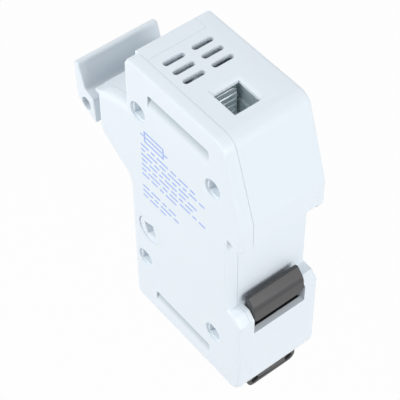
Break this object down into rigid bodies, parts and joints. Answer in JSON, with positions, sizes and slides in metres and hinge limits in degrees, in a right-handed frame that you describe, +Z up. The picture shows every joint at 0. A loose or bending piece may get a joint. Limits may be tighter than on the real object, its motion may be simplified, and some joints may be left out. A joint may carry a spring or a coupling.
{
  "type": "cartridge fuse holder",
  "caption": "Modular fuse holder for a mounting rail, with a swing-out drawer for a cartridge fuse, screw terminals and a sprung rail clip.",
  "frame": {"origin": "middle of the rail seat: mid width, on the seat's floor, on the rail's centre line", "axes": "+X along the rail towards the side cover, +Y from the front to the rail, +Z up"},
  "size_m": [0.036, 0.0928, 0.1315],
  "materials": {
    "housing_plastic": "satin moulded, cool white",
    "clip_plastic": "satin moulded, charcoal",
    "tinned_copper": "tin plated",
    "contact_brass": "plain",
    "zinc_steel": "zinc plated",
    "spring_steel": "plain"
  },
  "bodies": {
    "housing": {"housing_body": "housing_plastic", "side_cover": "housing_plastic", "upper_terminal_cover": "housing_plastic", "lower_terminal_cover": "housing_plastic", "upper_terminal_bar": "tinned_copper", "lower_terminal_bar": "tinned_copper", "upper_fuse_jaw": "contact_brass", "lower_fuse_jaw": "contact_brass", "upper_jaw_spring": "spring_steel", "lower_jaw_spring": "spring_steel", "contact_rivets": "contact_brass", "clip_spring": "spring_steel"},
    "drawer": {"fuse_drawer": "housing_plastic", "right_pivot_pin": "housing_plastic", "left_pivot_pin": "housing_plastic"},
    "upper_cage": {"upper_terminal_cage": "zinc_steel"},
    "lower_cage": {"lower_terminal_cage": "zinc_steel"},
    "upper_screw": {"upper_terminal_screw": "zinc_steel"},
    "lower_screw": {"lower_terminal_screw": "zinc_steel"},
    "rail_clip": {"din_clip": "clip_plastic"}
  },
  "joints": [
    {"name": "drawer_swing", "type": "hinge", "parent": "housing", "child": "drawer", "pos_m": [0, -0.0438, -0.0195], "axis": [1, 0, 0], "range_deg": [0, 75]},
    {"name": "clip_slide", "type": "slide", "parent": "housing", "child": "rail_clip", "axis": [0, 0, -1], "range_m": [0, 0.0045], "stiffness_N_per_m": 600, "springref_m": -0.004, "deforming": ["clip_spring"]},
    {"name": "upper_screw_turn", "type": "hinge", "parent": "housing", "child": "upper_screw", "pos_m": [0.0009, -0.04, 0.0512], "axis": [0, 1, 0], "range_deg": [0, 3420]},
    {"name": "upper_cage_draw", "type": "slide", "parent": "housing", "child": "upper_cage", "axis": [0, -1, 0], "range_m": [0, 0.0095]},
    {"name": "lower_screw_turn", "type": "hinge", "parent": "housing", "child": "lower_screw", "pos_m": [0.0009, -0.04, -0.0565], "axis": [0, 1, 0], "range_deg": [0, 3420]},
    {"name": "lower_cage_draw", "type": "slide", "parent": "housing", "child": "lower_cage", "axis": [0, -1, 0], "range_m": [0, 0.0095]}
  ],
  "couplings": [
    {"joint": "upper_screw_turn", "follows": "upper_cage_draw", "rad_per_m": 6283.2},
    {"joint": "lower_screw_turn", "follows": "lower_cage_draw", "rad_per_m": 6283.2}
  ]
}
